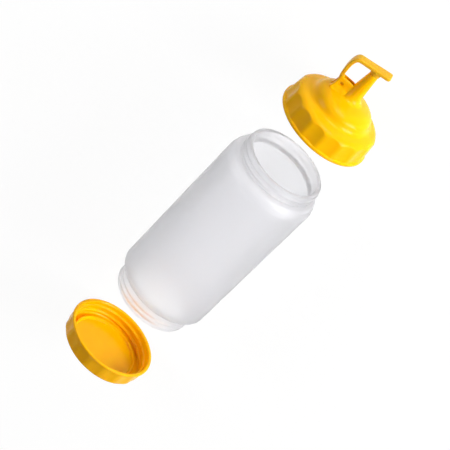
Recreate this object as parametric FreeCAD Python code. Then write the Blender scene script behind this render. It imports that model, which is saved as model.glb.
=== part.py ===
import FreeCAD, Part
import math
import os

# A two-ended squeeze bottle for sauce: a soft body open at both ends, a screw
# base, and a screw cap with a cone nozzle that a hinged lever closes.
# Millimetres. Each piece is drawn upright about its own axis (local +Z runs
# from the base to the nozzle, local +X to the hinge side) and then laid down
# along world +X, taken apart, with its round side on a small flat at z = 0.

# ---- body -----------------------------------------------------------------
BODY_LENGTH = 158.6         # end to end, over both necks
BODY_R_LOW = 36.0           # barrel at the lower shoulder
BODY_R_HIGH = 37.2          # barrel at the upper shoulder, slightly wider
BODY_WALL = 1.4             # soft barrel wall
LOW_NECK_R = 30.1           # neck that takes the base, without its thread
LOW_NECK_LENGTH = 14.3
LOW_SHOULDER_R = 31.7       # inner edge of the lower shoulder's rounding
LOW_SHOULDER_H = 4.2
TOP_NECK_R = 31.1           # neck that takes the nozzle cap, without its thread
TOP_NECK_LENGTH = 9.9
TOP_SHOULDER_H = 9.6
NECK_WALL = 3.0             # stiff finish at each mouth
LIP_ROUND = 0.8
# ---- both caps --------------------------------------------------------------
GRIP_COUNT = 16             # shallow flutes round each skirt
GRIP_RADIUS = 30.0          # radius of one flute's hollow
RIM_BAND = 2.5              # smooth band at the open edge
# ---- screw base -------------------------------------------------------------
BASE_RIM_R = 35.0
BASE_HEIGHT = 14.0
BASE_SKIRT_R_RIM = 34.3     # skirt just behind the rim band
BASE_SKIRT_R_END = 33.3     # skirt at the closed end
NECK_CLEARANCE = 2.1        # skirt's inside to the bare neck, for the thread
BASE_INNER_R = LOW_NECK_R + NECK_CLEARANCE
BASE_FLOOR = 1.7            # thickness of the closed end
BASE_GRIP_DEPTH = 0.75
BASE_GRIP_TURN = 78.5       # direction of one flute from local +X
SEAL_R = 26.6               # raised seal ring inside the base, to its middle
SEAL_WIDTH = 1.6
SEAL_HEIGHT = 1.9
# ---- nozzle cap -------------------------------------------------------------
CAP_RIM_R = 35.9
CAP_SKIRT_R_RIM = 35.3
CAP_SKIRT_R_TOP = 34.2
CAP_SKIRT_H = 13.4          # top of the gripped skirt
CAP_GRIP_DEPTH = 0.95
CAP_GRIP_TURN = 89.0
CAP_INNER_R = TOP_NECK_R + NECK_CLEARANCE
CAP_WALL = 1.9
STEP_R = 23.7               # crease between the shoulder and the upper dome
STEP_H = 21.3
NOZZLE_FOOT_R = 7.6
NOZZLE_FOOT_H = 31.3
NOZZLE_R_LOW = 5.15         # cone above its flared foot
NOZZLE_H_LOW = 39.4
NOZZLE_R_TIP = 3.5
NOZZLE_HEIGHT = 55.4
BORE_R_LOW = 3.3
BORE_R_TIP = 1.9
# ---- hinge and lever --------------------------------------------------------
LEVER_TURN = 8.0            # lever's plane, degrees about the bottle's axis
PIVOT_X = 12.0
PIVOT_H = 35.6
EAR_END_X = PIVOT_X + 4.1
EAR_TOP_H = PIVOT_H + 4.4
EAR_THICK = 1.5
EAR_ROUND = 1.6
FOOT_FLARE = ((-0.6, 1.8), (0.7, 0.9), (1.9, 0.35), (3.6, 0.0))  # rise, spread
SLOT = 3.2                  # gap between the two ears
SLOT_FLOOR_H = NOZZLE_FOOT_H - 0.6
SLOT_END_X = NOZZLE_R_LOW + 1.45
SLOT_CLEARANCE = 0.3        # knuckle to each ear
KNUCKLE_R = 3.0
KNUCKLE_THICK = SLOT - 2 * SLOT_CLEARANCE
HOLE_R = 1.40
STUD_CLEARANCE = 0.06
STUD_R = HOLE_R - STUD_CLEARANCE        # turns in the ears' holes
STUD_IN_EAR = 0.7
LEVER_GAP = 0.3             # pad to nozzle tip
PAD_LENGTH = 3.1            # pad's tip to the underside of the bar
PAD_R_TIP = NOZZLE_R_TIP + 0.25
PAD_R_BAR = 4.3
BAR_HALF_WIDTH = 4.0
PADDLE_HALF_WIDTH = 4.6
PADDLE_END_X = -10.2
PADDLE_END_ROUND = 0.9
LEVER_THICK = 2.6
LEVER_CLIMB = 0.155         # rise of the top face for each mm towards the paddle
# ---- drawn curves: steps from their start, stretched between named ends -----
SHOULDER = ((0, 0), (1.5, 1.5), (3.4, 3.05), (5.5, 4.6), (7.6, 6.05), (10.5, 7.9))
DOME = ((0, 0), (1.0, 2.4), (2.5, 4.0), (4.5, 5.6), (7.1, 7.2), (9.7, 8.4), (12.9, 9.5),
        (16.1, 10.0))
FLARE = ((0, 0), (1.1, 1.9), (1.85, 4.3), (2.45, 8.1))
# from the pivot, for a top face LEVER_DRAWN_RISE above it
LEVER_DRAWN_RISE = 25.8
LEVER_OUTER = ((2.55, -1.6), (4.3, 1.0), (5.4, 4.8), (6.15, 9.4), (6.5, 13.9), (6.2, 18.0),
               (5.1, 21.4))
LEVER_INNER = ((2.3, 20.5), (3.35, 17.8), (3.6, 13.9), (3.3, 9.4), (2.7, 5.8), (1.1, 2.75))
# ---- how the pieces lie -----------------------------------------------------
REST_FLAT = 0.15            # depth of the small flat under each piece
GAP_TOP = 40.7              # body's mouth to the nozzle cap's rim
GAP_BASE = 49.5             # body's lower mouth to the base's rim


def v(x, z):
    return FreeCAD.Vector(x, 0, z)


def spline(points):
    curve = Part.BSplineCurve()
    curve.interpolate([v(x, z) for x, z in points])
    return curve.toShape()


def line(a, b):
    return Part.makeLine(v(*a), v(*b))


def arc(a, mid, b):
    return Part.Arc(v(*a), v(*mid), v(*b)).toShape()


def turned(edges):
    """Solid of revolution about Z from a closed run of edges in the XZ plane."""
    face = Part.Face(Part.Wire(edges))
    return face.revolve(FreeCAD.Vector(0, 0, 0), FreeCAD.Vector(0, 0, 1), 360)


def prism(points, half, round_=0.0, pick=None):
    """Straight-sided plate in the XZ plane, `half` thick each way along Y."""
    wire = Part.makePolygon([v(*p) for p in points] + [v(*points[0])])
    solid = Part.Face(wire).extrude(FreeCAD.Vector(0, 2 * half, 0))
    solid.translate(FreeCAD.Vector(0, -half, 0))
    if round_:
        edges = [e for e in solid.Edges if pick(e)]
        solid = solid.makeFillet(round_, edges)
    return solid


def on_y(radius, x, z, y0, y1):
    """Cylinder along Y, from y0 to y1."""
    return Part.makeCylinder(radius, y1 - y0, FreeCAD.Vector(x, y0, z),
                             FreeCAD.Vector(0, 1, 0))


def grips(r_a, h_a, r_b, h_b, depth, first):
    """Flutes that follow a skirt from radius r_a at h_a to r_b at h_b."""
    lean = math.degrees(math.atan2(r_a - r_b, h_b - h_a))
    bar = Part.makeCylinder(GRIP_RADIUS, 80, FreeCAD.Vector(0, 0, -40))
    bar.rotate(FreeCAD.Vector(0, 0, 0), FreeCAD.Vector(0, 1, 0), -lean)
    bar.translate(FreeCAD.Vector(r_a - depth + GRIP_RADIUS / math.cos(math.radians(lean)),
                                 0, h_a))
    slab = Part.makeBox(40, 40, h_b - h_a, FreeCAD.Vector(20, -20, h_a))
    cutter = bar.common(slab)
    cutters = []
    for i in range(GRIP_COUNT):
        one = cutter.copy()
        one.rotate(FreeCAD.Vector(0, 0, 0), FreeCAD.Vector(0, 0, 1),
                   first + i * 360.0 / GRIP_COUNT)
        cutters.append(one)
    return cutters


def laid_down(shape, x, widest):
    """Local Z to world X, local X to world Y, then down on a small flat."""
    axis_h = widest - REST_FLAT
    turn = FreeCAD.Rotation(FreeCAD.Vector(0, 1, 0), FreeCAD.Vector(0, 0, 1),
                            FreeCAD.Vector(1, 0, 0))
    out = shape.copy()
    out.Placement = FreeCAD.Placement(FreeCAD.Vector(x, 0, axis_h), turn).multiply(
        shape.Placement)
    box = out.BoundBox
    under = Part.makeBox(box.XLength + 20, box.YLength + 20, 50,
                         FreeCAD.Vector(box.XMin - 10, box.YMin - 10, -50))
    return out.cut(under)


def quarter(start, corner_x, corner_z, steps, out=True):
    """Points of a quarter ellipse from `start` to (corner_x, corner_z).

    With `out` it leaves `start` upright, otherwise it leaves it level.
    """
    dx, dz = corner_x - start[0], corner_z - start[1]
    points = []
    for i in range(steps + 1):
        t = math.pi / 2 * i / steps
        c, s = 1 - math.cos(t), math.sin(t)
        points.append((start[0] + dx * (c if out else s), start[1] + dz * (s if out else c)))
    return points


def chain(points):
    return [line(p, q) for p, q in zip(points, points[1:])]


def bottle_body():
    end = BODY_LENGTH
    low_end = LOW_NECK_LENGTH + LOW_SHOULDER_H
    high = end - TOP_NECK_LENGTH
    high_start = high - TOP_SHOULDER_H
    lo, hi = LOW_NECK_R, TOP_NECK_R
    lo_in, hi_in = lo - NECK_WALL + 0.6, hi - NECK_WALL
    c, d, w = LIP_ROUND, LIP_ROUND * 0.3, BODY_WALL
    low_in, high_in = BODY_R_LOW - w, BODY_R_HIGH - w
    inner = [(lo - c, 0), (lo_in + c, 0), (lo_in + d, d), (lo_in, c),
             (lo_in, LOW_NECK_LENGTH + 0.6)]
    low_inside = quarter((low_in, low_end + 2.0), lo_in, LOW_NECK_LENGTH + 0.6, 4)[::-1]
    high_inside = quarter((high_in, high_start - 0.5), hi_in, high - 1.6, 6)
    lip = [(hi_in, high - 1.6), (hi_in, end - c), (hi_in + d, end - d), (hi_in + c, end),
           (hi - c, end), (hi - d, end - d), (hi, end - c), (hi, high)]
    shoulder = quarter((BODY_R_HIGH, high_start), hi, high, 6)[::-1]
    low_shoulder = quarter((BODY_R_LOW, low_end), LOW_SHOULDER_R, LOW_NECK_LENGTH, 5)
    neck = [(LOW_SHOULDER_R, LOW_NECK_LENGTH), (lo, LOW_NECK_LENGTH), (lo, c),
            (lo - d, d), (lo - c, 0)]
    edges = chain(inner) + [spline(low_inside), line((low_in, low_end + 2.0),
                                                     (high_in, high_start - 0.5)),
                            spline(high_inside)]
    edges += chain(lip) + [spline(shoulder), line((BODY_R_HIGH, high_start),
                                                  (BODY_R_LOW, low_end)),
                           spline(low_shoulder)]
    return turned(edges + chain(neck))


def screw_base():
    rim, h = BASE_RIM_R, BASE_HEIGHT
    inner, floor = BASE_INNER_R, BASE_FLOOR
    half = SEAL_WIDTH / 2
    outline = [
        (0, 0), (BASE_SKIRT_R_END - 1.1, 0), (BASE_SKIRT_R_END, 1.0),
        (BASE_SKIRT_R_RIM, h - RIM_BAND), (rim - 0.25, h - RIM_BAND + 0.25),
        (rim, h - RIM_BAND + 0.8), (rim, h - 0.5), (rim - 0.6, h), (inner + 0.7, h),
        (inner, h - 0.9), (inner - 0.5, floor + 0.8), (inner - 1.3, floor),
        (SEAL_R + half + 0.25, floor), (SEAL_R + half - 0.2, floor + SEAL_HEIGHT),
        (SEAL_R - half + 0.2, floor + SEAL_HEIGHT), (SEAL_R - half - 0.5, floor),
        (0, floor),
    ]
    base = turned(chain(outline + outline[:1]))
    flutes = grips(BASE_SKIRT_R_END, -0.2, BASE_SKIRT_R_RIM, h - RIM_BAND,
                   BASE_GRIP_DEPTH, BASE_GRIP_TURN)
    return base.cut(flutes)


def stretched(drawn, start, end, extra=()):
    """Drawn (step in, rise) points between two (radius, height) ends of the cap."""
    wide, high = drawn[-1]
    along, up = (start[0] - end[0]) / wide, (end[1] - start[1]) / high
    return [(start[0] - x * along, start[1] + z * up) for x, z in (extra or drawn)]


SKIRT_TOP = (CAP_SKIRT_R_TOP, CAP_SKIRT_H)
STEP = (STEP_R, STEP_H)
NOZZLE_FOOT = (NOZZLE_FOOT_R, NOZZLE_FOOT_H)


def dome_points():
    """Radius and height of the cap's outside above its gripped skirt."""
    return (stretched(SHOULDER, SKIRT_TOP, STEP), stretched(DOME, STEP, NOZZLE_FOOT),
            stretched(FLARE, NOZZLE_FOOT, (NOZZLE_R_LOW, NOZZLE_H_LOW)))


def dome_height(r):
    pts = [p for run in dome_points() for p in run]
    for (ra, ha), (rb, hb) in zip(pts, pts[1:]):
        if rb <= r <= ra and ra > rb:
            return ha + (hb - ha) * (ra - r) / (ra - rb)
    return CAP_SKIRT_H


def ears():
    """Block of the two hinge ears with its flared foot, before its slot and hole."""
    half = SLOT / 2 + EAR_THICK
    low = dome_height(EAR_END_X) - 0.9
    block = prism([(2.0, NOZZLE_FOOT_H - 1.3), (EAR_END_X - 1.5, low - 0.3), (EAR_END_X, low),
                   (EAR_END_X, EAR_TOP_H), (2.0, EAR_TOP_H)], half, EAR_ROUND,
                  lambda e: abs(e.BoundBox.XMin - EAR_END_X) < 1e-6
                  and abs(e.BoundBox.ZMin - EAR_TOP_H) < 1e-6
                  and abs(e.BoundBox.YLength - 2 * half) < 1e-6)
    near = NOZZLE_R_LOW
    sections = []
    for up, spread in FOOT_FLARE:
        far, wide = EAR_END_X + spread, half + spread
        corners = [(near, wide), (far, wide), (far, -wide), (near, -wide), (near, wide)]
        sections.append(Part.makePolygon(
            [FreeCAD.Vector(x, y, dome_height(max(x, NOZZLE_FOOT_R)) + up)
             for x, y in corners]))
    foot = Part.makeLoft(sections, True, True)
    return block.fuse(foot)


def nozzle_cap():
    rim, inner = CAP_RIM_R, CAP_INNER_R
    top, tip = NOZZLE_HEIGHT, NOZZLE_R_TIP
    shoulder, upper, flare = dome_points()
    outside = chain([(0, 0), (rim - 0.5, 0), (rim, 0.5), (rim, RIM_BAND - 0.6),
                     (rim - 0.3, RIM_BAND - 0.1), (CAP_SKIRT_R_RIM, RIM_BAND), shoulder[0]])
    outside += [spline(shoulder), spline(upper), spline(flare)]
    outside += chain([flare[-1], (tip, top - 0.4), (tip - 0.3, top), (0, top), (0, 0)])
    wall = CAP_WALL
    under_shoulder = stretched(SHOULDER, SKIRT_TOP, STEP, ((4.2, 3.1), (8.2, 6.0)))
    under_dome = stretched(DOME, STEP, NOZZLE_FOOT, ((4.8, 4.9), (9.1, 7.8)))
    hollow = turned(chain([
        (0, -1), (inner + 1.4, -1), (inner, 0.8), (inner - 0.5, CAP_SKIRT_H - 0.8),
        (inner - 1.6, CAP_SKIRT_H - 0.8)] + [(r, h - wall) for r, h in under_shoulder]
        + [(STEP_R - 1.4, STEP_H - wall + 0.2), (STEP_R - 2.5, STEP_H + 0.1)]
        + [(r, h - wall) for r, h in under_dome]
        + [(NOZZLE_FOOT_R + wall, NOZZLE_FOOT_H - wall - 0.3),
           (BORE_R_LOW + 2.1, NOZZLE_FOOT_H - 0.6), (BORE_R_LOW, NOZZLE_H_LOW),
           (BORE_R_TIP, top), (BORE_R_TIP, top + 1), (0, top + 1), (0, -1)]))
    flutes = grips(CAP_SKIRT_R_RIM, RIM_BAND, CAP_SKIRT_R_TOP, CAP_SKIRT_H + 2.5,
                   CAP_GRIP_DEPTH, CAP_GRIP_TURN)
    bracket = ears()
    half = SLOT / 2 + EAR_THICK
    slot = prism([(SLOT_END_X, SLOT_FLOOR_H), (EAR_END_X + 4, SLOT_FLOOR_H - 2.7),
                  (EAR_END_X + 4, EAR_TOP_H + 3), (SLOT_END_X, EAR_TOP_H + 3)], SLOT / 2)
    hole = on_y(HOLE_R, PIVOT_X, PIVOT_H, -half - 1, half + 1)
    for shape in (bracket, slot, hole):
        turn_to_plane(shape)
    return turned(outside).cut(flutes).fuse(bracket).cut([hollow, slot, hole])


def turn_to_plane(shape):
    shape.rotate(FreeCAD.Vector(0, 0, 0), FreeCAD.Vector(0, 0, 1), LEVER_TURN)


def bar_top(x):
    """Height of the lever's top face, which climbs towards its paddle."""
    return NOZZLE_HEIGHT + LEVER_GAP + PAD_LENGTH + LEVER_THICK - LEVER_CLIMB * x


def above_pivot(rise):
    """Height of a drawn rise above the pivot, stretched to meet the top face."""
    return PIVOT_H + rise * (bar_top(0) - PIVOT_H) / LEVER_DRAWN_RISE


def lever():
    t = LEVER_THICK
    bend_out, bend_in = PIVOT_X + 2.6, PIVOT_X + 0.2
    outer = [(PIVOT_X + x, above_pivot(z)) for x, z in LEVER_OUTER]
    outer += [(bend_out, bar_top(bend_out))]
    inner = [(bend_in, bar_top(bend_in) - t)]
    inner += [(PIVOT_X + x, above_pivot(z)) for x, z in LEVER_INNER]
    end = PADDLE_END_X
    near = end + PADDLE_END_ROUND
    tip_top, tip_under = (near, bar_top(near)), (near, bar_top(near) - t)
    side = Part.Wire([
        spline(outer),
        line(outer[-1], tip_top),
        arc(tip_top, (end, bar_top(end) - t / 2), tip_under),
        line(tip_under, inner[0]),
        spline(inner),
        line(inner[-1], (PIVOT_X, PIVOT_H)),
        line((PIVOT_X, PIVOT_H), outer[0]),
    ])
    plate = Part.Face(side).extrude(FreeCAD.Vector(0, 20, 0))
    plate.translate(FreeCAD.Vector(0, -10, 0))

    k, b, p = KNUCKLE_THICK / 2, BAR_HALF_WIDTH, PADDLE_HALF_WIDTH
    half_front = [(k, 20), (k, EAR_TOP_H + 0.9), (k + 1.5, above_pivot(8.0)),
                  (b - 0.6, above_pivot(13.4)), (b, above_pivot(20.4)),
                  (p, above_pivot(26.4)), (p, above_pivot(34.4))]
    front_pts = [(y, z) for y, z in half_front] + [(-y, z) for y, z in reversed(half_front)]
    front = Part.Face(Part.makePolygon(
        [FreeCAD.Vector(-30, y, z) for y, z in front_pts + front_pts[:1]]))
    front = front.extrude(FreeCAD.Vector(60, 0, 0))

    c = 2.2
    half_plan = [(30, b), (10, b), (0, b + 0.35), (end + c, p), (end + 0.3 * c, p - 0.3 * c),
                 (end, p - c)]
    plan_pts = half_plan + [(x, -y) for x, y in reversed(half_plan)]
    plan = Part.Face(Part.makePolygon(
        [FreeCAD.Vector(x, y, 10) for x, y in plan_pts + plan_pts[:1]]))
    plan = plan.extrude(FreeCAD.Vector(0, 0, 2 * NOZZLE_HEIGHT))
    arm = plate.common(front).common(plan)

    z0 = NOZZLE_HEIGHT + LEVER_GAP
    pad = Part.makeCone(PAD_R_TIP, PAD_R_BAR, PAD_LENGTH + 0.8,
                        FreeCAD.Vector(0, 0, z0))
    knuckle = on_y(KNUCKLE_R, PIVOT_X, PIVOT_H, -k, k)
    reach = SLOT / 2 + STUD_IN_EAR
    studs = on_y(STUD_R, PIVOT_X, PIVOT_H, -reach, reach)
    out = arm.fuse([pad, knuckle, studs]).removeSplitter()
    turn_to_plane(out)
    return out


def main():
    os.makedirs("parts", exist_ok=True)
    row_length = (BASE_HEIGHT + GAP_BASE + BODY_LENGTH + GAP_TOP
                  + bar_top(PADDLE_END_X + PADDLE_END_ROUND))
    base_x = -row_length / 2
    body_x = base_x + BASE_HEIGHT + GAP_BASE
    cap_x = body_x + BODY_LENGTH + GAP_TOP
    pieces = {
        "bottle_body": laid_down(bottle_body(), body_x, BODY_R_HIGH),
        "screw_base": laid_down(screw_base(), base_x, BASE_RIM_R),
        "nozzle_cap": laid_down(nozzle_cap(), cap_x, CAP_RIM_R),
        "lever": laid_down(lever(), cap_x, CAP_RIM_R),
    }
    for name, shape in pieces.items():
        solid = shape.Solids[0]
        print(name, len(shape.Solids), "solid,", round(solid.Volume), "mm3, valid:",
              solid.isValid())
        solid.exportStep("parts/" + name + ".step")


main()
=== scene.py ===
import math
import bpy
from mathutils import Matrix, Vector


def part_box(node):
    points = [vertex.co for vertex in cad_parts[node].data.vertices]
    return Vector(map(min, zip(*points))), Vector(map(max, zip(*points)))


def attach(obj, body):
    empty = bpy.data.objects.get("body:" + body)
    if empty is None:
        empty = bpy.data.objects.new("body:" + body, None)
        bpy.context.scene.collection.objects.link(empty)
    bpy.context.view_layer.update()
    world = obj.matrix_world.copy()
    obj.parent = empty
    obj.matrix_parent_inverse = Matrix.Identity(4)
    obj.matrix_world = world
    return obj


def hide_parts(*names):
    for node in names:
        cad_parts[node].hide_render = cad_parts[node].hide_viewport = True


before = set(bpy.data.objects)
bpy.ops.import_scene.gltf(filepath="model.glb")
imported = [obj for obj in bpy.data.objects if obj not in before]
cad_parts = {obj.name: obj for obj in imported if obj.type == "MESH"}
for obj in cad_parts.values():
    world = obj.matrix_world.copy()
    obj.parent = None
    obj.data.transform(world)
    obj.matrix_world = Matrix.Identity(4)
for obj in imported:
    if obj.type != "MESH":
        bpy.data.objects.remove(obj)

from types import SimpleNamespace

import bpy
import numpy as np
from bpy.props import FloatProperty, FloatVectorProperty, IntProperty, PointerProperty
from mathutils import Matrix, Vector

bl_info = {
    "name": "Sauce Squeeze Bottle",
    "version": (1, 0, 0),
    "blender": (4, 5, 0),
    "location": "3D View > Sidebar > Squeeze Bottle",
    "description": "Builds a two-ended sauce bottle, taken apart, lying on a pale floor",
    "category": "Add Mesh",
}

MM = 0.001
FULL = 2 * math.pi
SAMPLE = 0.08                # mm between the points that a profile is rounded on
ROW_TURN = math.radians(9)   # most that a profile turns from one row to the next
CREASE = math.radians(38)    # edges sharper than this are shaded as edges
CONE_START = 39.4            # mm, height where the nozzle's flared foot becomes a cone
WHITE = (1, 1, 1, 1)
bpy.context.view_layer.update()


# ---- values -----------------------------------------------------------------

def linear(code):
    """The linear colour of an sRGB hex code, with full opacity."""
    srgb = np.array([int(code[i:i + 2], 16) for i in (1, 3, 5)]) / 255
    value = np.where(srgb <= 0.04045, srgb / 12.92, ((srgb + 0.055) / 1.055) ** 2.4)
    return (*value.tolist(), 1.0)


def length(name, description, mm):
    """A length setting, given in millimetres and kept in Blender's metres."""
    return FloatProperty(name=name, description=description, default=mm * MM,
                         soft_min=0, precision=5, unit="LENGTH")


def angle(name, description, degrees):
    """An angle setting, given in degrees and kept in radians."""
    return FloatProperty(name=name, description=description,
                         default=math.radians(degrees), subtype="ANGLE")


def tint(name, description, code):
    """A colour setting, given as an sRGB hex code."""
    return FloatVectorProperty(name=name, description=description, default=linear(code),
                               size=4, min=0, max=1, subtype="COLOR")


def share(name, description, value):
    """A plain number between 0 and 1."""
    return FloatProperty(name=name, description=description, default=value,
                         min=0, max=1, subtype="FACTOR")


def power(name, description, watts):
    """A lamp's power setting."""
    return FloatProperty(name=name, description=description, default=watts, min=0,
                         unit="POWER")


def in_mm(group):
    """The group's settings by name, with every length turned to millimetres."""
    found = {}
    for item in group.bl_rna.properties:
        if item.type in {"FLOAT", "INT"}:
            value = getattr(group, item.identifier)
            found[item.identifier] = value / MM if item.unit == "LENGTH" else value
    return SimpleNamespace(**found)


# ---- profiles and surfaces --------------------------------------------------

def chain(*runs):
    """Runs of profile points joined end to end, without the repeated points."""
    points = np.vstack([np.asarray(run, float) for run in runs])
    keep = np.r_[True, np.abs(np.diff(points[:, :2], axis=0)).sum(axis=1) > 1e-6]
    return points[keep]


def spans(points, *tags):
    """Profile points (radius, height) with the same row spacing and weights on each."""
    points = np.asarray(points, float)
    return np.hstack([points, np.tile(np.asarray(tags, float), (len(points), 1))])


def quarter(start, end, count=16):
    """Quarter of an ellipse that leaves its start along the height: start and end are
    its two vertices, reached by the cosine and sine of one angle."""
    t = np.linspace(0, math.pi / 2, count)
    (ra, ha), (rb, hb) = start, end
    return np.c_[ra + (rb - ra) * (1 - np.cos(t)), ha + (hb - ha) * np.sin(t)]


def through(points, per_span=10):
    """Curve through all points: on each span the uniform Catmull-Rom cubic of the span's
    two points and their neighbours."""
    p = np.asarray(points, float)
    p = np.vstack([2 * p[0] - p[1], p, 2 * p[-1] - p[-2]])
    t = (np.arange(per_span) / per_span)[:, None]
    a, b, c, d = p[:-3, None], p[1:-2, None], p[2:-1, None], p[3:, None]
    cubic = 0.5 * (2 * b + (c - a) * t + (2 * a - 5 * b + 4 * c - d) * t ** 2
                   + (3 * b - a - 3 * c + d) * t ** 3)
    return np.vstack([cubic.reshape(-1, p.shape[1]), p[-2]])


def eased(points, radius, closed):
    """Profile with its corners rounded and its rows spread to suit.

    The points are taken one sample apart along the line, each is replaced by the mean
    of its neighbours under a bell curve as wide as the radius, and rows are then placed
    so that each is at most one row spacing or one row turn from the next.
    """
    p = np.vstack([points, points[:1]]) if closed else np.asarray(points, float)
    walk = np.r_[0, np.cumsum(np.hypot(*np.diff(p[:, :2], axis=0).T))]
    count = int(walk[-1] / SAMPLE)
    at = np.linspace(0, walk[-1], count + 1)
    dense = np.c_[tuple(np.interp(at, walk, column) for column in p.T)]
    reach = max(2, int(1.5 * radius / SAMPLE))
    deviation = reach / 2.2
    bell = np.exp(-0.5 * (np.arange(-reach, reach + 1) / deviation) ** 2)
    bell /= bell.sum()
    if closed:
        dense = dense[:-1]
        padded = np.vstack([dense[-reach:], dense, dense[:reach]])
    else:
        padded = np.vstack([2 * dense[0] - dense[reach:0:-1], dense,
                            2 * dense[-1] - dense[-2:-reach - 2:-1]])
    soft = np.c_[tuple(np.convolve(column, bell, "valid") for column in padded.T)]
    if not closed:
        soft[0, :2], soft[-1, :2] = points[0][:2], points[-1][:2]
    step = np.diff(soft[:, :2], axis=0)
    heading = np.unwrap(np.arctan2(step[:, 1], step[:, 0]))
    bend = np.abs(np.diff(heading, prepend=heading[0]))
    cost = np.hypot(*step.T) / np.maximum(soft[:-1, 2], 0.05) + bend / ROW_TURN
    total = np.r_[0, np.cumsum(cost)]
    rows = max(8, int(math.ceil(total[-1])))
    stops = np.linspace(0, total[-1], rows + 1)[:rows if closed else rows + 1]
    return np.c_[tuple(np.interp(stops, total, column) for column in soft.T)]


def ease(x):
    """0 below 0, 1 above 1 and 3x2 - 2x3 between them."""
    x = np.clip(x, 0, 1)
    return x * x * (3 - 2 * x)


def lesser(a, b, blend):
    """The smaller of two heights, with the edge between them rounded off by the log of
    the sum of their exponentials."""
    return -blend * np.logaddexp(-a / blend, -b / blend)


def thread(height, phi, first, pitch, turns, width, start):
    """Screw thread ridge, 0 to 1, at each height and angle.

    Its middle climbs one pitch per turn from the first height at the start (in turns),
    its section is exp(-(distance / half width)^4), and both its ends fade out.
    """
    fade = 0.07
    ridge = np.zeros(np.broadcast(height, phi).shape)
    for turn in range(-2, int(turns + start) + 2):
        s = phi / FULL + turn
        shown = ease((s - start) / fade) * ease((start + turns - s) / fade)
        away = (height - first - pitch * (s - start)) / (width / 2)
        ridge = np.maximum(ridge, shown * np.exp(-away ** 4))
    return ridge


def fluted(radius, height, phi, skirt, depth, hollow, count, centre, edge):
    """Radius of a skirt after its grips: round hollows that stand outside it.

    Seen along the axis a hollow is a circle of the hollow radius whose near side is one
    depth inside the skirt, so at an angle d from its middle the surface lies at
    c cos d - sqrt(hollow^2 - (c sin d)^2), with c the circle's distance.
    """
    period = FULL / count
    d = (phi - centre + period / 2) % period - period / 2
    c = skirt(height) - depth + hollow
    groove = c * np.cos(d) - np.sqrt(hollow ** 2 - (c * np.sin(d)) ** 2)
    return lesser(radius, groove + edge * 0.2, edge)


def laid(along, across, up, box, axis_height):
    """Local points (mm) put in the row frame (m): the axis runs along X from the box's
    low end, and what would be below the floor is pressed flat on it."""
    x = box[0][0] + along * MM
    y = across * MM
    z = np.maximum(axis_height + up * MM, 0)
    return np.stack(np.broadcast_arrays(x, y, z), axis=-1)


def turned(height, phi, radius, box, axis_height):
    """Surface of revolution about the piece's axis: every row at its radius and height,
    at angles phi measured from straight up towards -Y."""
    return laid(height, -radius * np.sin(phi), radius * np.cos(phi), box, axis_height)


def grid_faces(rows, columns, closed):
    """Quads of a grid whose columns wrap round; rows wrap too where it is closed.
    Where it is open, its first and last rows are single points, and fan out."""
    index = np.arange(rows * columns).reshape(rows, columns)
    if closed:
        index = np.vstack([index, index[:1]])
    else:
        index[0], index[-1] = index[0, 0], index[-1, 0]
    right = np.roll(index, -1, axis=1)
    quads = np.stack([index[:-1], right[:-1], right[1:], index[1:]], axis=-1)
    quads = quads.reshape(-1, 4)
    first = quads[:, 0] == quads[:, 1]
    last = quads[:, 2] == quads[:, 3]
    faces = quads[~first & ~last].tolist()
    return faces + quads[first][:, 1:].tolist() + quads[last][:, :3].tolist()


def make_piece(name, shells, material, body, node):
    """One mesh from closed shells, each a (points, closed) grid, facing outwards.

    A shell whose signed volume (the sum of the vertices' triple products over its
    triangles) comes out negative is turned round.
    """
    points, faces = [], []
    count = 0
    for grid, closed in shells:
        rows, columns = grid.shape[:2]
        own = grid.reshape(-1, 3)
        quads = grid_faces(rows, columns, closed)
        fan = np.array([[f[0], f[i], f[i + 1]] for f in quads
                        for i in range(1, len(f) - 1)])
        a, b, c = own[fan[:, 0]], own[fan[:, 1]], own[fan[:, 2]]
        if np.einsum("ij,ij->i", a, np.cross(b, c)).sum() < 0:
            quads = [face[::-1] for face in quads]
        points.append(own)
        faces += [[i + count for i in face] for face in quads]
        count += len(own)
    vertices = np.vstack(points)
    used = np.unique(np.concatenate([np.asarray(face) for face in faces]))
    renumber = np.zeros(len(vertices), int)
    renumber[used] = np.arange(len(used))
    mesh = bpy.data.meshes.new(name)
    mesh.from_pydata(vertices[used].tolist(), [],
                     [renumber[face].tolist() for face in faces])
    mesh.shade_smooth()
    mesh.set_sharp_from_angle(angle=CREASE)
    mesh.materials.append(material)
    piece = bpy.data.objects.new(name, mesh)
    bpy.context.scene.collection.objects.link(piece)
    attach(piece, body)
    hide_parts(node)
    return piece


# ---- materials --------------------------------------------------------------

def put(tree, kind, settings=(), values=(), links=()):
    """Adds one node with its settings, socket values and incoming links."""
    node = tree.nodes.new(kind)
    for name, value in dict(settings).items():
        setattr(node, name, value)
    for name, value in dict(values).items():
        node.inputs[name].default_value = value
    for name, source in dict(links).items():
        tree.links.new(source, node.inputs[name])
    return node


def new_material(name):
    """An empty material with its output, and its node tree."""
    material = bpy.data.materials.new(name)
    material.use_nodes = True
    material.node_tree.nodes.clear()
    return material, material.node_tree


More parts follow.
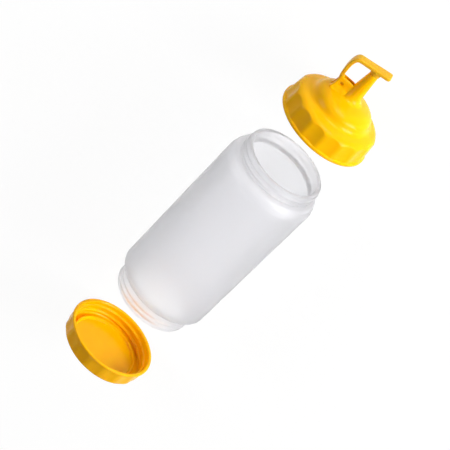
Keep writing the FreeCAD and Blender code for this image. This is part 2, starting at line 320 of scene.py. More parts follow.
def frosted_polyethylene(finish):
    """Low-density polyethylene, blow moulded in a sandblasted mould: milky and soft, so
    light goes through and spreads in the wall, with a satin face that holds no sharp
    reflection and a wall that waves slightly."""
    material, tree = new_material("polyethylene_blow_moulded_frosted")
    place = put(tree, "ShaderNodeTexCoord").outputs["Object"]
    # Cloudy wall thickness, drifting over about 30 mm.
    cloud = put(tree, "ShaderNodeTexNoise",
                values={"Scale": 1 / 0.030, "Detail": 2.0, "Roughness": 0.5},
                links={"Vector": place})
    shade = put(tree, "ShaderNodeMix", {"data_type": "RGBA"},
                {"A": finish.body_colour, "B": finish.body_thick_colour},
                {"Factor": cloud.outputs["Fac"]})
    # The mould's blasted grain is about 0.2 mm; it is drawn at 0.9 mm so that it shows.
    grain = put(tree, "ShaderNodeTexNoise", values={"Scale": 1 / 0.0009, "Detail": 3.0},
                links={"Vector": place})
    wave = put(tree, "ShaderNodeTexNoise", values={"Scale": 1 / 0.016, "Detail": 1.0},
               links={"Vector": place})
    swell = put(tree, "ShaderNodeBump", values={"Strength": 0.5, "Distance": 0.0004},
                links={"Height": wave.outputs["Fac"]})
    relief = put(tree, "ShaderNodeBump", values={"Strength": 0.25, "Distance": 0.00006},
                 links={"Height": grain.outputs["Fac"], "Normal": swell.outputs["Normal"]})
    rough = put(tree, "ShaderNodeMapRange",
                values={"To Min": finish.body_roughness - 0.04,
                        "To Max": finish.body_roughness + 0.06},
                links={"Value": grain.outputs["Fac"]})
    skin = put(tree, "ShaderNodeBsdfPrincipled",
               {"subsurface_method": "RANDOM_WALK"},
               {"IOR": 1.51, "Transmission Weight": finish.body_transmission,
                "Subsurface Weight": finish.body_scatter,
                "Subsurface Radius": (1.0, 1.0, 1.0), "Subsurface Scale": 0.003,
                "Specular IOR Level": 0.4},
               {"Base Color": shade.outputs["Result"], "Roughness": rough.outputs["Result"],
                "Normal": relief.outputs["Normal"]})
    put(tree, "ShaderNodeOutputMaterial", links={"Surface": skin.outputs["BSDF"]})
    return material


def yellow_polypropylene(piece, roughness, finish):
    """Polypropylene, injection moulded in a polished mould and coloured right through:
    dense and glossy, with soft reflections, faint flow marks and a slight orange peel.
    The base, the cap and the lever each have their own batch of yellow."""
    material, tree = new_material("polypropylene_moulded_yellow_" + piece)
    place = put(tree, "ShaderNodeTexCoord").outputs["Object"]
    # Flow marks in the pigment, drawn out round the piece, about 14 mm apart.
    drawn = put(tree, "ShaderNodeMapping", values={"Scale": (3.0, 1.0, 1.0)},
                links={"Vector": place})
    flow = put(tree, "ShaderNodeTexNoise", values={"Scale": 1 / 0.014, "Detail": 3.0,
                                                   "Distortion": 0.4},
               links={"Vector": drawn.outputs["Vector"]})
    pigment = put(tree, "ShaderNodeMix", {"data_type": "RGBA"},
                  {"A": getattr(finish, piece + "_colour"),
                   "B": getattr(finish, piece + "_deep_colour")},
                  {"Factor": flow.outputs["Fac"]})
    peel = put(tree, "ShaderNodeTexNoise", values={"Scale": 1 / 0.0035, "Detail": 2.0},
               links={"Vector": place})
    relief = put(tree, "ShaderNodeBump", values={"Strength": 0.35, "Distance": 0.00008},
                 links={"Height": peel.outputs["Fac"]})
    rough = put(tree, "ShaderNodeMapRange",
                values={"To Min": roughness - 0.03, "To Max": roughness + 0.05},
                links={"Value": flow.outputs["Fac"]})
    skin = put(tree, "ShaderNodeBsdfPrincipled",
               {"subsurface_method": "RANDOM_WALK"},
               {"IOR": 1.49, "Subsurface Weight": finish.cap_scatter,
                "Subsurface Radius": (1.0, 0.4, 0.06), "Subsurface Scale": 0.0011,
                "Specular IOR Level": 0.1},
               {"Base Color": pigment.outputs["Result"],
                "Roughness": rough.outputs["Result"],
                "Normal": relief.outputs["Normal"]})
    put(tree, "ShaderNodeOutputMaterial", links={"Surface": skin.outputs["BSDF"]})
    return material


# ---- settings ---------------------------------------------------------------

class BodySizes(bpy.types.PropertyGroup):
    """Sizes of the soft body, open at both ends."""
    length: length("Length", "End to end, over both necks", 158.6)
    radius_low: length("Radius, low", "Barrel at its lower shoulder", 36.0)
    radius_high: length("Radius, high", "Barrel at its upper shoulder", 37.2)
    wall: length("Barrel wall", "Thickness of the soft wall", 1.4)
    low_neck_radius: length("Lower neck radius", "Without its thread", 30.1)
    low_neck_length: length("Lower neck length", "From its lip to the shoulder", 14.3)
    low_shoulder_radius: length("Lower shoulder radius", "Its inner edge", 31.7)
    low_shoulder_height: length("Lower shoulder height", "Height of its rounding", 4.2)
    top_neck_radius: length("Upper neck radius", "Without its thread", 31.1)
    top_neck_length: length("Upper neck length", "From its lip to the shoulder", 9.9)
    top_shoulder_height: length("Upper shoulder height", "Height of its rounding", 9.6)
    neck_wall: length("Neck wall", "Thickness of the stiff mouth", 3.0)
    thread_pitch: length("Thread pitch", "Rise of the thread in one turn", 4.0)
    thread_width: length("Thread width", "Width of the ridge at half its height", 1.9)
    top_thread: length("Upper thread", "How far its ridge stands proud", 0.8)
    low_thread: length("Lower thread", "How far its ridge stands proud", 0.65)
    columns: IntProperty(name="Columns", description="Points round the body",
                         default=240, min=48)


class BaseSizes(bpy.types.PropertyGroup):
    """Sizes of the screw base that closes the lower neck."""
    rim_radius: length("Rim radius", "Smooth band at the open edge", 35.0)
    height: length("Height", "Open edge to closed end", 14.0)
    skirt_rim: length("Skirt at the band", "Radius just behind the band", 34.3)
    skirt_end: length("Skirt at the closed end", "Radius at the closed end", 33.3)
    rim_band: length("Band", "Height of the smooth band", 2.5)
    inner: length("Inside radius", "Between the threads", 32.2)
    floor: length("Floor", "Thickness of the closed end", 1.7)
    grip_depth: length("Grip depth", "Depth of one flute", 0.75)
    grip_turn: angle("Grip turn", "Where the first flute is", -11.5)
    seal_radius: length("Seal radius", "Raised ring, to its middle", 26.6)
    seal_width: length("Seal width", "Width of the ring", 1.6)
    seal_height: length("Seal height", "Height of the ring", 1.9)
    thread_depth: length("Thread depth", "How far the thread stands in", 1.2)


class CapSizes(bpy.types.PropertyGroup):
    """Sizes of the nozzle cap that closes the upper neck."""
    rim_radius: length("Rim radius", "Smooth band at the open edge", 35.9)
    rim_band: length("Band", "Height of the smooth band", 2.5)
    skirt_rim: length("Skirt at the band", "Radius just above the band", 35.3)
    skirt_top: length("Skirt at its top", "Radius where the shoulder starts", 34.2)
    skirt_height: length("Skirt height", "Open edge to the shoulder", 13.4)
    grip_depth: length("Grip depth", "Depth of one flute", 0.95)
    grip_turn: angle("Grip turn", "Where the first flute is", -1.0)
    inner: length("Inside radius", "Between the threads", 33.2)
    wall: length("Wall", "Thickness of the dome", 1.9)
    nozzle_low: length("Nozzle radius, low", "Cone above its flared foot", 5.15)
    nozzle_tip: length("Nozzle radius, tip", "Cone at its tip", 3.5)
    nozzle_height: length("Nozzle height", "Open edge to the tip", 55.4)
    bore_low: length("Bore radius, low", "Bore at the foot", 3.3)
    bore_tip: length("Bore radius, tip", "Bore at the tip", 1.9)
    slot: length("Hinge slot", "Gap between the two ears", 3.2)
    ear_thick: length("Ear thickness", "Thickness of one ear", 1.5)
    ear_top: length("Ear top", "Open edge to the top of the ears", 40.0)
    ear_edge: length("Ear edge", "Rounding of an ear's outer edge", 1.1)
    ear_end: length("Ear end", "Axis to the far edge of the ears", 16.1)
    hole: length("Hole radius", "Hole for the lever's stud", 1.4)
    thread_depth: length("Thread depth", "How far the thread stands in", 1.1)
    columns: IntProperty(name="Columns", description="Points round each cap",
                         default=288, min=96)


class LeverSizes(bpy.types.PropertyGroup):
    """Sizes of the lever that closes the nozzle."""
    turn: angle("Plane", "Turn of the lever's plane about the axis", 8.0)
    pivot_x: length("Pivot, out", "Pivot's distance from the axis", 12.0)
    pivot_h: length("Pivot, up", "Pivot's height above the open edge", 35.6)
    knuckle: length("Knuckle radius", "Round end between the ears", 3.0)
    knuckle_thick: length("Knuckle thickness", "Between the ears", 2.6)
    stud: length("Stud radius", "Stud in the ear's hole", 1.34)
    stud_reach: length("Stud reach", "How far it goes into an ear", 0.25)
    thick: length("Thickness", "Bar and paddle", 2.6)
    paddle: length("Paddle half width", "At its free end", 4.6)
    pad_tip: length("Pad radius", "Where it meets the nozzle", 3.75)
    pad_bar: length("Pad root radius", "Where it joins the bar", 4.3)
    pad_gap: length("Pad gap", "Pad to the nozzle's tip", 0.3)


class GripSizes(bpy.types.PropertyGroup):
    """Grips that both caps share."""
    count: IntProperty(name="Flutes", description="Number round each cap", default=16,
                       min=6)
    hollow: length("Hollow radius", "Radius of one flute", 30.0)
    edge: length("Edge", "Rounding between flute and skirt", 0.1)


class Finishes(bpy.types.PropertyGroup):
    """Colours and gloss."""
    body_colour: tint("Body", "Thin frosted wall", "#FDFDFF")
    body_thick_colour: tint("Body, thick", "Thicker frosted wall", "#F9F9FC")
    body_roughness: share("Body roughness", "Satin face of the body", 0.38)
    body_transmission: share("Body transmission", "Light passed straight on", 0.9)
    body_scatter: share("Body scatter", "Light spread in the wall", 0.3)
    cap_colour: tint("Caps", "Yellow of the caps", "#FCBD00")
    cap_deep_colour: tint("Caps, deep", "Yellow where pigment is dense", "#F9B400")
    base_colour: tint("Base", "Yellow of the screw base", "#FFBC00")
    base_deep_colour: tint("Base, deep", "Yellow where pigment is dense", "#FBB000")
    cap_roughness: share("Cap roughness", "Gloss of the caps", 0.19)
    cap_scatter: share("Cap scatter", "Light spread in the yellow", 0.35)
    lever_colour: tint("Lever", "Yellow of the lever", "#F4BC2A")
    lever_deep_colour: tint("Lever, deep", "Yellow where pigment is dense", "#ECB222")
    lever_roughness: share("Lever roughness", "Gloss of the lever", 0.3)
    floor_colour: tint("Floor", "Pale studio floor", "#F4F4F4")


class StageSettings(bpy.types.PropertyGroup):
    """Camera and lights."""
    aim: FloatVectorProperty(name="Aim", description="Point the camera looks at",
                             default=(-0.0115, -0.0002, 0.037), size=3,
                             subtype="TRANSLATION", unit="LENGTH")
    distance: length("Distance", "Camera to the aimed point", 2003.0)
    elevation: angle("Elevation", "Camera above the horizon", 58.28)
    roll: angle("Roll", "Turn of the camera about its view", 224.94)
    lens: FloatProperty(name="Lens", description="Focal length on a 36 mm sensor",
                        default=227.6, min=10, unit="CAMERA")
    side_power: power("Side", "Main softbox, on one long side", 32.0)
    back_power: power("Back", "Softbox on the other long side", 9.0)
    cap_end_power: power("Cap end", "Softbox past the nozzle", 9.5)
    base_end_power: power("Base end", "Softbox past the base", 6.5)
    sky: FloatProperty(name="Ambient", description="Even light from all round",
                       default=0.07, min=0)


class SqueezeBottle(bpy.types.PropertyGroup):
    """Everything that can be changed on the bottle."""
    body: PointerProperty(type=BodySizes)
    base: PointerProperty(type=BaseSizes)
    cap: PointerProperty(type=CapSizes)
    lever: PointerProperty(type=LeverSizes)
    grips: PointerProperty(type=GripSizes)
    finish: PointerProperty(type=Finishes)
    stage: PointerProperty(type=StageSettings)


# ---- pieces -----------------------------------------------------------------

def around(count):
    """Equal angles round an axis, as one row."""
    return (np.arange(count) * FULL / count)[None, :]


def body_surface(s, box):
    """Thin-walled body as one closed ring of profile, turned about its axis, with the
    thread ridge added to the radius on the outside of both necks."""
    end = s.length
    high = end - s.top_neck_length
    high_start = high - s.top_shoulder_height
    low_end = s.low_neck_length + s.low_shoulder_height
    lo, hi = s.low_neck_radius, s.top_neck_radius
    lo_in, hi_in = lo - s.neck_wall + 0.6, hi - s.neck_wall
    low_in, high_in = s.radius_low - s.wall, s.radius_high - s.wall
    low_lip, top_lip, foot = 0.5, 0.6, 0.2
    # Heights where the barrel's inside starts to draw in to each neck, and where it ends.
    top_from, top_to = high_start - 2.0, high - 2.6
    low_from, low_to = low_end + 2.0, s.low_neck_length + 0.6
    # The upper shoulder turns in three soft bends, drawn as shares of its width and height.
    bends = np.array([(0, 0), (0.015, 0.17), (0.15, 0.5), (0.35, 0.76), (0.63, 0.915),
                      (1, 1)])
    bends = bends * (hi + foot - s.radius_high, s.top_shoulder_height)
    bends = bends + (s.radius_high, high_start)
    on_thread, on_edge, on_curve, on_barrel = 0.32, 0.6, 1.0, 8.0
    profile = chain(
        spans([(lo_in + low_lip, 0), (lo - low_lip, 0)], on_edge, 0),
        spans([(lo, low_lip), (lo, s.low_neck_length)], on_thread, 1),
        spans([(s.low_shoulder_radius, s.low_neck_length)], on_edge, 0),
        spans(quarter((s.radius_low, low_end),
                      (s.low_shoulder_radius, s.low_neck_length))[::-1], on_curve, 0),
        spans([(s.radius_high, high_start)], on_barrel, 0),
        spans(bends, 0.8, 0),
        spans([(hi, high + foot), (hi, end - top_lip)], on_thread, 1),
        spans([(hi - top_lip, end), (hi_in + top_lip, end)], on_edge, 0),
        spans([(hi_in, end - top_lip), (hi_in, top_to)], on_curve, 0),
        spans(quarter((high_in, top_from), (hi_in, top_to))[::-1], on_curve, 0),
        spans([(low_in, low_from)], on_barrel, 0),
        spans(quarter((low_in, low_from), (lo_in, low_to)), on_curve, 0),
        spans([(lo_in, low_lip)], on_curve, 0),
    )
    rows = eased(profile, 0.45, True)
    phi = around(s.columns)
    r, height, on_neck = rows[:, 0:1], rows[:, 1:2], ease(rows[:, 3:4])
    top = thread(height, phi, first=end - 9.6, pitch=s.thread_pitch, turns=1.85,
                 width=s.thread_width, start=0.75)
    low = thread(height, phi, first=1.1, pitch=s.thread_pitch, turns=1.95,
                 width=s.thread_width, start=0.55)
    radius = r + on_neck * (s.top_thread * top + s.low_thread * low)
    axis = box[1][2] - s.radius_high * MM
    return turned(height, phi, radius, box, axis), True


def base_surface(s, g, columns, box):
    """Screw base as one profile from the axis round the rim and back to the axis: flutes
    taken off outside, two turns of thread added inside. A shallow dimple, where the
    plastic came in, is in the middle of its closed end."""
    h, rim, half = s.height, s.rim_radius, s.seal_width / 2
    dimple, deep = 4.0, 0.5
    profile = chain(
        spans([(0, deep + 0.05), (dimple, deep), (dimple + 0.6, 0.0)], 2.5, 0, 0),
        spans([(s.skirt_end - 1.4, 0)], 4.0, 1, 0),
        spans([(s.skirt_end, 1.4), (s.skirt_end + 0.05, 1.8)], 0.5, 1, 0),
        spans([(s.skirt_rim, h - s.rim_band)], 0.8, 1, 0),
        spans([(rim, h - s.rim_band + 0.75)], 0.25, 0, 0),
        spans([(rim, h - 0.5), (rim - 0.5, h), (s.inner + 0.7, h)], 0.5, 0, 0),
        spans([(s.inner, h - 0.9), (s.inner - 0.5, s.floor + 0.8)], 0.3, 0, 1),
        spans([(s.inner - 1.3, s.floor)], 0.3, 0, 0),
        spans([(s.seal_radius + half + 0.35, s.floor)], 1.0, 0, 0),
        spans([(s.seal_radius + half - 0.25, s.floor + s.seal_height),
               (s.seal_radius - half + 0.25, s.floor + s.seal_height),
               (s.seal_radius - half - 0.6, s.floor)], 0.4, 0, 0),
        spans([(3.0, s.floor), (0, s.floor)], 4.0, 0, 0),
    )
    rows = eased(profile, 0.35, False)
    phi = around(columns)
    r, height = rows[:, 0:1], rows[:, 1:2]

    def skirt(at):
        return s.skirt_end + (s.skirt_rim - s.skirt_end) * at / (h - s.rim_band)

    gripped = fluted(r, height, phi, skirt, s.grip_depth, g.hollow, g.count,
                     s.grip_turn, g.edge)
    ridge = thread(height, phi, first=h - 10.8, pitch=4.9, turns=1.9, width=1.9, start=0.3)
    outside, inside = ease(rows[:, 3:4]), ease(rows[:, 4:5])
    radius = r + outside * (gripped - r) - inside * s.thread_depth * ridge
    axis = box[1][2] - rim * MM
    return turned(height, phi, np.maximum(radius, 0), box, axis), False


def dome_line(s):
    """Radius and height of the cap's outside above its gripped skirt: a full shoulder
    that flattens to a ledge, a step up to the dome, and the flared foot of the nozzle."""
    step, foot = (24.7, 19.9), (7.6, 31.6)
    shoulder = through([(s.skirt_top, s.skirt_height), (34.0, 14.5), (33.4, 15.6),
                        (32.4, 16.6), (31.0, 17.5), (29.4, 18.1), (27.8, 18.5),
                        (26.2, 19.0), step])
    upper = through([step, (23.8, 21.1), (23.15, 22.6), (22.65, 24.0), (21.75, 25.35),
                     (20.4, 26.6), (18.6, 27.75), (16.5, 28.75), (14.0, 29.5),
                     (11.5, 30.1), (9.3, 30.6), foot])
    flare = through([foot, (6.5, 33.2), (5.75, 35.6), (s.nozzle_low, CONE_START)])
    return shoulder, upper, flare


def cap_surface(s, g, box):
    """Nozzle cap as one closed ring of profile: skirt, shoulder, dome and cone outside,
    then the bore and the hollow, with flutes taken off and thread added inside."""
    shoulder, upper, flare = dome_line(s)
    tip, top, inner, wall = s.nozzle_tip, s.nozzle_height, s.inner, s.wall
    cut = 36        # points of the shoulder, from the skirt up, that the flutes reach
    profile = chain(
        spans([(s.rim_radius - 0.5, 0), (s.rim_radius, 0.5),
               (s.rim_radius, s.rim_band - 0.6)], 0.5, 0, 0),
        spans([(s.rim_radius - 0.3, s.rim_band - 0.1)], 0.2, 0.3, 0),
        spans([(s.skirt_rim, s.rim_band + 0.2)], 0.6, 1, 0),
        spans(shoulder[:1], 0.25, 1, 0),
        spans(shoulder[1:cut], 0.3, 1, 0),
        spans(shoulder[cut:-1], 0.8, 0, 0),
        spans(upper[:-1], 1.0, 0, 0),
        spans(flare, 0.8, 0, 0),
        spans([(tip, top - 0.5), (tip - 0.4, top), (s.bore_tip + 0.3, top)], 1.5, 0, 0),
        spans([(s.bore_tip, top - 0.4), (s.bore_low, CONE_START)], 2.0, 0, 0),
        spans([(5.4, 30.7), (9.5, 30.8 - wall), (14.6, 29.1 - wall), (18.6, 27.3 - wall),
               (20.6, 25.0 - wall), (21.6, 22.0 - wall), (24.4, 19.5 - wall),
               (28.6, 18.1 - wall), (30.4, 17.1 - wall), (inner - 1.6, 14.6 - wall)],
              1.2, 0, 0),
        spans([(inner - 0.5, s.skirt_height - 0.8), (inner, 0.8)], 0.3, 0, 1),
        spans([(inner + 0.7, 0)], 0.5, 0, 0),
    )
    rows = eased(profile, 0.35, True)
    phi = around(s.columns)
    r, height = rows[:, 0:1], rows[:, 1:2]

    def skirt(at):
        rise = (at - s.rim_band) / (s.skirt_height - s.rim_band)
        return s.skirt_rim + (s.skirt_top - s.skirt_rim) * rise

    gripped = fluted(r, height, phi, skirt, s.grip_depth, g.hollow, g.count,
                     s.grip_turn, g.edge)
    ridge = thread(height, phi, first=2.2, pitch=4.0, turns=1.9, width=1.9, start=0.2)
    outside, inside = ease(rows[:, 3:4]), ease(rows[:, 4:5])
    radius = r + outside * (gripped - r) - inside * s.thread_depth * ridge
    axis = box[1][2] - s.rim_radius * MM
    return turned(height, phi, radius, box, axis), True


def in_lever_plane(x, y, z, turn, box, axis_height):
    """Points of the lever's plane (x out, y across, z up) turned about the bottle's axis
    and laid down with it."""
    out = x * math.cos(turn) - y * math.sin(turn)
    side = x * math.sin(turn) + y * math.cos(turn)
    return laid(z, out, side, box, axis_height)


def ear_surface(s, lever, side, box, axis_height):
    """One hinge ear, a closed ring about its hole.

    Round the hole's centre the rim lies at the distance (|cos/a|^5 + |sin/b|^5)^(-1/5) of
    a rounded block. A section runs out over the outer face, round a quarter circle at
    its edge and back over the inner face. The foot spreads outwards by e^(-rise).
    """
    u = around(96)
    cos, sin = np.cos(u), np.sin(u)
    near, deep = 3.2, 6.9       # the ear's inner end, and how far it goes below the pivot
    half_x = np.where(cos > 0, s.ear_end - lever.pivot_x, lever.pivot_x - near)
    half_z = np.where(sin > 0, s.ear_top - lever.pivot_h, deep)
    rim = (np.abs(cos / half_x) ** 5 + np.abs(sin / half_z) ** 5) ** (-1 / 5)
    t = np.linspace(0, math.pi / 2, 8)
    # One section: shares of the way from hole to rim, how far inside the rim the
    # rounded edge still is, and how far below the outer face.
    away = np.r_[0, 0, 0.02, 0.2, 0.4, 0.6, 0.8, np.ones(8), 1, 0.6, 0.2, 0.02][:, None]
    short = np.r_[np.zeros(7), s.ear_edge * (1 - np.sin(t)), np.zeros(4)][:, None]
    below = np.r_[-1, 0.2, np.zeros(5), s.ear_edge * (1 - np.cos(t)), -np.ones(4)][:, None]
    distance = s.hole + (rim - s.hole - s.ear_edge) * away + np.where(
        away == 1, s.ear_edge - short, 0)
    x = lever.pivot_x + cos * distance
    z = lever.pivot_h + sin * distance
    shoulder, upper, _ = dome_line(s)
    dome = np.vstack([shoulder, upper])[::-1]
    rise = z - np.interp(np.abs(x), dome[:, 0], dome[:, 1])
    spread = np.minimum(2.2 * np.exp(-rise / 1.9), 3.0)
    x = x + spread * ease((x - 12.5) / 3.0)
    inner = s.slot / 2
    outer = inner + s.ear_thick + spread * ease((distance - 2.2) / 1.5)
    y = np.where(below < 0, inner, outer - below)
    return in_lever_plane(x, side * y, z, lever.turn, box, axis_height), True


def lever_shells(s, cap, box, axis_height):
    """The lever's closed shells: a bar with a rounded oblong section carried from the
    knuckle over to the paddle, the pad under it, and the knuckle with its studs."""
    axis_top, climb = 61.4, 0.155       # top face over the nozzle, and its rise per mm
    end, end_round, corner_round = -10.2, 0.9, 2.2
    paddle_low = 55                     # what lies above this height is bar or paddle
    edge_round = 0.75

    def top(x):
        return axis_top - climb * x

    stop = end + end_round
    outer = [(14.55, 34.0), (16.3, 36.6), (17.4, 40.4), (18.15, 45.0), (18.5, 49.5),
             (18.2, 53.6), (17.1, 57.0), (14.6, top(14.6)), (8, top(8)), (0, top(0)),
             (stop, top(stop))]
    under = [(12.3, 36.0), (13.1, 38.35), (14.7, 41.4), (15.3, 45.0), (15.6, 49.5),
             (15.35, 53.4), (14.3, 56.1), (12.2, top(12.2) - s.thick),
             (8, top(8) - s.thick), (0, top(0) - s.thick), (stop, top(stop) - s.thick)]
    half = [1.25, 1.3, 1.35, 3.0, 3.45, 3.75, 4.0, 4.0, 4.1, 4.35, s.paddle]
    both = through(np.c_[outer, under, half], 9)
    t = np.linspace(0, math.pi / 2, 7)[1:]
    tip_o, tip_u = both[-1, :2], both[-1, 2:4]
    middle = (tip_o + tip_u) / 2
    ahead = np.array([-1.0, climb]) / math.hypot(1, climb)
    centre = middle + end_round * np.sin(t)[:, None] * ahead
    reach = (tip_o - middle) * np.cos(t)[:, None]
    last = np.c_[centre + reach, centre - reach, np.full(len(t), s.paddle)]
    both = np.vstack([both[0], both, last])
    both[0, :4] = np.tile((both[0, :2] + both[0, 2:4]) / 2, 2)
    run = both[:, [0, 2]].mean(axis=1)
    from_end = np.clip(run - end, 0, corner_round)
    corner = corner_round - np.sqrt(
        np.maximum(corner_round ** 2 - (corner_round - from_end) ** 2, 0))
    width = (both[:, 4] - np.where(both[:, 1] > paddle_low, corner, 0))[:, None]
    mid = (both[:, :2] + both[:, 2:4]) / 2
    lean = (both[:, :2] - both[:, 2:4]) / 2
    deep = np.hypot(*lean.T)[:, None]
    unit = lean / np.maximum(deep, 1e-6)
    unit[0], unit[-1] = unit[1], unit[-2]
    # Four rounded corners make one section: n is along its thickness, y across it.
    a = np.linspace(0, math.pi / 2, 6)
    rounding = np.minimum(edge_round, 0.95 * deep)
    corner_a = np.concatenate([a, a + math.pi / 2, a + math.pi, a + 1.5 * math.pi])[None]
    quadrant = np.repeat([0, 1, 2, 3], len(a))
    sign_y = np.array([1, -1, -1, 1])[quadrant][None]
    sign_n = np.array([1, 1, -1, -1])[quadrant][None]
    y = sign_y * (width - rounding) + rounding * np.cos(corner_a)
    n = sign_n * (deep - rounding) + rounding * np.sin(corner_a)
    y = y * np.where(deep > 1e-4, 1, 0)
    x = mid[:, 0:1] + unit[:, 0:1] * n
    z = mid[:, 1:2] + unit[:, 1:2] * n
    bar = in_lever_plane(x, y, z, s.turn, box, axis_height)

    phi = around(64)
    pad_low = cap.nozzle_height + s.pad_gap
    pad_high = top(0) - s.thick + 0.9
    pad = eased(spans([(0, pad_low), (s.pad_tip, pad_low), (s.pad_bar, pad_high - 0.6),
                       (s.pad_bar + 0.6, pad_high), (0, pad_high)], 0.8), 0.3, False)
    r = pad[:, 0:1]
    pad = in_lever_plane(r * np.cos(phi), r * np.sin(phi), pad[:, 1:2], s.turn, box,
                         axis_height)

    side, reach = s.knuckle_thick / 2, cap.slot / 2 + s.stud_reach
    pin = eased(spans([(0, -reach), (s.stud, -reach), (s.stud, -side), (s.knuckle, -side),
                       (s.knuckle, side), (s.stud, side), (s.stud, reach), (0, reach)],
                      0.7), 0.25, False)
    r = pin[:, 0:1]
    pin = in_lever_plane(s.pivot_x + r * np.cos(phi), pin[:, 1:2],
                         s.pivot_h + r * np.sin(phi), s.turn, box, axis_height)
    return [(bar, False), (pad, False), (pin, False)]


# ---- operators --------------------------------------------------------------

class SQUEEZE_OT_body(bpy.types.Operator):
    """Make the frosted body with both its threaded necks"""
    bl_idname = "squeeze_bottle.body"
    bl_label = "Frosted Body"

    def execute(self, context):
        settings = context.scene.squeeze_bottle
        shell = body_surface(in_mm(settings.body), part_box("bottle_body"))
        make_piece("frosted_body", [shell], frosted_polyethylene(settings.finish),
                   "bottle", "bottle_body")
        return {"FINISHED"}


class SQUEEZE_OT_base(bpy.types.Operator):
    """Make the screw base with its grips, inner thread and seal ring"""
    bl_idname = "squeeze_bottle.base"
    bl_label = "Screw Base"

    def execute(self, context):
        settings = context.scene.squeeze_bottle
        shell = base_surface(in_mm(settings.base), in_mm(settings.grips),
                             settings.cap.columns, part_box("screw_base"))
        finish = settings.finish
        material = yellow_polypropylene("base", finish.cap_roughness, finish)
        make_piece("yellow_screw_base", [shell], material, "bottle", "screw_base")
        return {"FINISHED"}


class SQUEEZE_OT_cap(bpy.types.Operator):
    """Make the nozzle cap with its grips, stepped dome, cone and hinge ears"""
    bl_idname = "squeeze_bottle.cap"
    bl_label = "Nozzle Cap"

    def execute(self, context):
        settings = context.scene.squeeze_bottle
        s, lever = in_mm(settings.cap), in_mm(settings.lever)
        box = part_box("nozzle_cap")
        axis = box[1][2] - s.rim_radius * MM
        shells = [cap_surface(s, in_mm(settings.grips), box)]
        shells += [ear_surface(s, lever, side, box, axis) for side in (1, -1)]
        finish = settings.finish
        material = yellow_polypropylene("cap", finish.cap_roughness, finish)
        make_piece("yellow_nozzle_cap", shells, material, "bottle", "nozzle_cap")
        return {"FINISHED"}


class SQUEEZE_OT_lever(bpy.types.Operator):
    """Make the hinged lever with its paddle and the pad that closes the nozzle"""
    bl_idname = "squeeze_bottle.lever"
    bl_label = "Closing Lever"

    def execute(self, context):
        settings = context.scene.squeeze_bottle
        finish = settings.finish
        cap, box = in_mm(settings.cap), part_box("nozzle_cap")
        axis = box[1][2] - cap.rim_radius * MM
        material = yellow_polypropylene("lever", finish.lever_roughness, finish)
        make_piece("yellow_lever", lever_shells(in_mm(settings.lever), cap, box, axis),
                   material, "lever", "lever")
        return {"FINISHED"}


def softbox(name, direction, distance, size, watts):
    """Square area lamp that faces the middle of the row."""
    lamp = bpy.data.lights.new(name, "AREA")
    lamp.shape = "SQUARE"
    lamp.size = size
    lamp.energy = watts
    holder = bpy.data.objects.new(name, lamp)
    toward = Vector(direction).normalized()
    holder.matrix_world = (Matrix.Translation(toward * distance)
                           @ toward.to_track_quat("Z", "Y").to_matrix().to_4x4())
    bpy.context.scene.collection.objects.link(holder)


def seen_directly(tree):
    """1 where a ray comes from the camera, or through or off a shiny surface, else 0."""
    path = put(tree, "ShaderNodeLightPath")
    seen = path.outputs["Is Camera Ray"]
    for kind in ("Is Glossy Ray", "Is Transmission Ray"):
        seen = put(tree, "ShaderNodeMath", {"operation": "MAXIMUM"},
                   links={0: seen, 1: path.outputs[kind]}).outputs[0]
    return seen


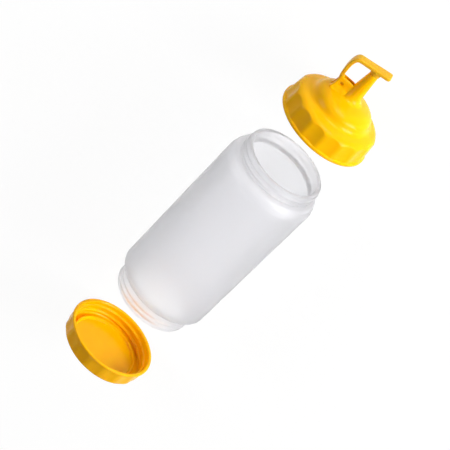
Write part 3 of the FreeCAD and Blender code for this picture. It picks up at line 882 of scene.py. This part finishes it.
class SQUEEZE_OT_stage(bpy.types.Operator):
    """Set the floor, the soft lights, the white surroundings and the camera"""
    bl_idname = "squeeze_bottle.stage"
    bl_label = "Studio"

    def execute(self, context):
        settings = context.scene.squeeze_bottle
        stage, scene = settings.stage, context.scene
        half_floor, below = 4.0, -0.0002        # metres; just under the pieces
        mesh = bpy.data.meshes.new("studio_floor")
        corners = np.array([(-1, -1, 0), (1, -1, 0), (1, 1, 0), (-1, 1, 0)]) * half_floor
        corners[:, 2] = below
        mesh.from_pydata(corners.tolist(), [], [(0, 1, 2, 3)])
        floor = bpy.data.objects.new("studio_floor", mesh)
        scene.collection.objects.link(floor)
        material, tree = new_material("painted_board_white")
        # Matt white board, lit mostly by itself where it is only seen, so that it stays
        # white and still keeps the soft shadow.
        own_light, strength = 0.9, 1.04
        part = put(tree, "ShaderNodeMath", {"operation": "MULTIPLY"}, {1: own_light},
                   {0: seen_directly(tree)})
        board = put(tree, "ShaderNodeBsdfDiffuse",
                    values={"Color": settings.finish.floor_colour})
        glow = put(tree, "ShaderNodeEmission", values={"Strength": strength})
        blend = put(tree, "ShaderNodeMixShader", links={0: part.outputs[0],
                                                        1: board.outputs[0],
                                                        2: glow.outputs[0]})
        put(tree, "ShaderNodeOutputMaterial", links={"Surface": blend.outputs[0]})
        mesh.materials.append(material)

        world = bpy.data.worlds.new("studio_surround")
        world.use_nodes = True
        world.node_tree.nodes.clear()
        tree = world.node_tree
        even = put(tree, "ShaderNodeBackground",
                   values={"Color": WHITE, "Strength": stage.sky})
        white = put(tree, "ShaderNodeBackground", values={"Color": WHITE, "Strength": 1.0})
        blend = put(tree, "ShaderNodeMixShader", links={0: seen_directly(tree),
                                                        1: even.outputs[0],
                                                        2: white.outputs[0]})
        put(tree, "ShaderNodeOutputWorld", links={"Surface": blend.outputs[0]})
        scene.world = world

        # Name, direction from the row, distance and size in metres, power.
        for lamp in (
                ("side_softbox", (0.5, -0.8, 0.32), 1.6, 0.8, stage.side_power),
                ("back_softbox", (0.1, 0.8, 0.6), 1.7, 0.9, stage.back_power),
                ("cap_end_softbox", (0.97, -0.08, 0.2), 1.8, 0.65, stage.cap_end_power),
                ("base_end_softbox", (-0.95, -0.1, 0.3), 1.8, 0.65,
                 stage.base_end_power)):
            softbox(*lamp)

        camera = bpy.data.cameras.new("studio_camera")
        camera.sensor_width, camera.clip_end = 36, 50       # millimetres; metres
        camera.lens = stage.lens
        holder = bpy.data.objects.new("studio_camera", camera)
        scene.collection.objects.link(holder)
        turn = (Matrix.Rotation(math.pi / 2, 4, "Z")
                @ Matrix.Rotation(math.pi / 2 - stage.elevation, 4, "X")
                @ Matrix.Rotation(stage.roll, 4, "Z"))
        back = Vector((math.cos(stage.elevation), 0, math.sin(stage.elevation)))
        holder.matrix_world = (Matrix.Translation(Vector(stage.aim) + back * stage.distance)
                               @ turn)
        scene.camera = holder
        scene.view_settings.view_transform = "Standard"
        return {"FINISHED"}


class SQUEEZE_PT_panel(bpy.types.Panel):
    """Lists the bottle's pieces and their settings"""
    bl_idname = "SQUEEZE_PT_panel"
    bl_label = "Squeeze Bottle"
    bl_space_type = "VIEW_3D"
    bl_region_type = "UI"
    bl_category = "Squeeze Bottle"

    def draw(self, context):
        settings = context.scene.squeeze_bottle
        for operator, group in zip(OPERATORS, ("body", "base", "cap", "lever", "stage")):
            box = self.layout.box()
            box.operator(operator.bl_idname)
            held = getattr(settings, group)
            for item in held.bl_rna.properties:
                if item.identifier not in {"rna_type", "name"}:
                    box.prop(held, item.identifier)


OPERATORS = (SQUEEZE_OT_body, SQUEEZE_OT_base, SQUEEZE_OT_cap, SQUEEZE_OT_lever,
             SQUEEZE_OT_stage)
CLASSES = (BodySizes, BaseSizes, CapSizes, LeverSizes, GripSizes, Finishes, StageSettings,
           SqueezeBottle, *OPERATORS, SQUEEZE_PT_panel)


def register():
    """Makes the settings, operators and panel known to Blender."""
    for item in CLASSES:
        bpy.utils.register_class(item)
    bpy.types.Scene.squeeze_bottle = PointerProperty(type=SqueezeBottle)


def unregister():
    """Takes them away again."""
    del bpy.types.Scene.squeeze_bottle
    for item in reversed(CLASSES):
        bpy.utils.unregister_class(item)


def main():
    """Builds every piece and the stage."""
    register()
    bpy.ops.squeeze_bottle.body()
    bpy.ops.squeeze_bottle.base()
    bpy.ops.squeeze_bottle.cap()
    bpy.ops.squeeze_bottle.lever()
    bpy.ops.squeeze_bottle.stage()


if __name__ == "__main__":
    main()
